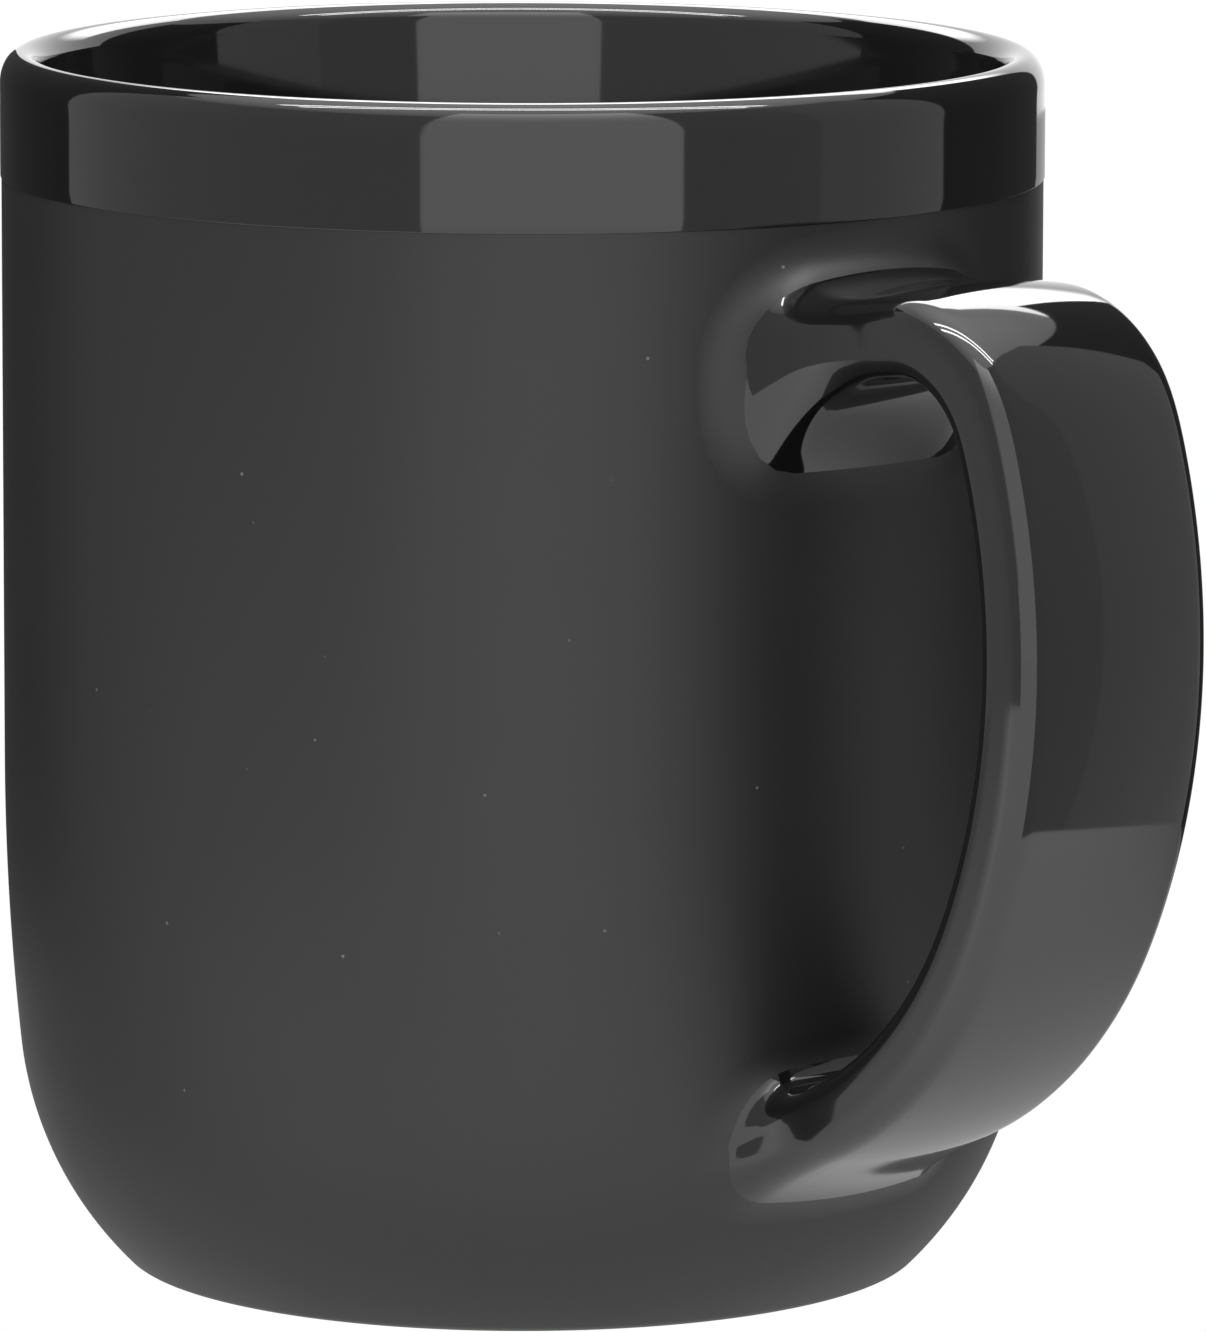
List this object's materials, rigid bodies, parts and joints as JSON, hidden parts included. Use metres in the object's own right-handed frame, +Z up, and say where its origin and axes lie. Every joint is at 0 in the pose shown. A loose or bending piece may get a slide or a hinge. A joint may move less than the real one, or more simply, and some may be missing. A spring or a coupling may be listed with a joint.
{
  "type": "mug",
  "caption": "Straight-sided glazed stoneware mug with a rounded heel, a dry foot ring, a glossy rim band and a wide strap handle.",
  "frame": {"origin": "centre of the foot ring, on the plane the mug stands on", "axes": "+Z up along the axis of the cup, +X from the axis towards the handle, XZ is the mirror plane"},
  "size_m": [0.1165, 0.086, 0.1008],
  "materials": {
    "bare_stoneware": "unglazed, fine sandy grain",
    "matte_black_glaze": "satin-matte glaze with a fine grain",
    "gloss_black_glaze": "high gloss glaze"
  },
  "bodies": {
    "root": {"cup_body": "bare_stoneware", "handle": "bare_stoneware", "upper_joint": "matte_black_glaze", "lower_joint": "matte_black_glaze", "liner_glaze": "gloss_black_glaze", "matte_glaze": "matte_black_glaze", "handle_glaze": "gloss_black_glaze", "base_glaze": "matte_black_glaze"}
  },
  "joints": []
}
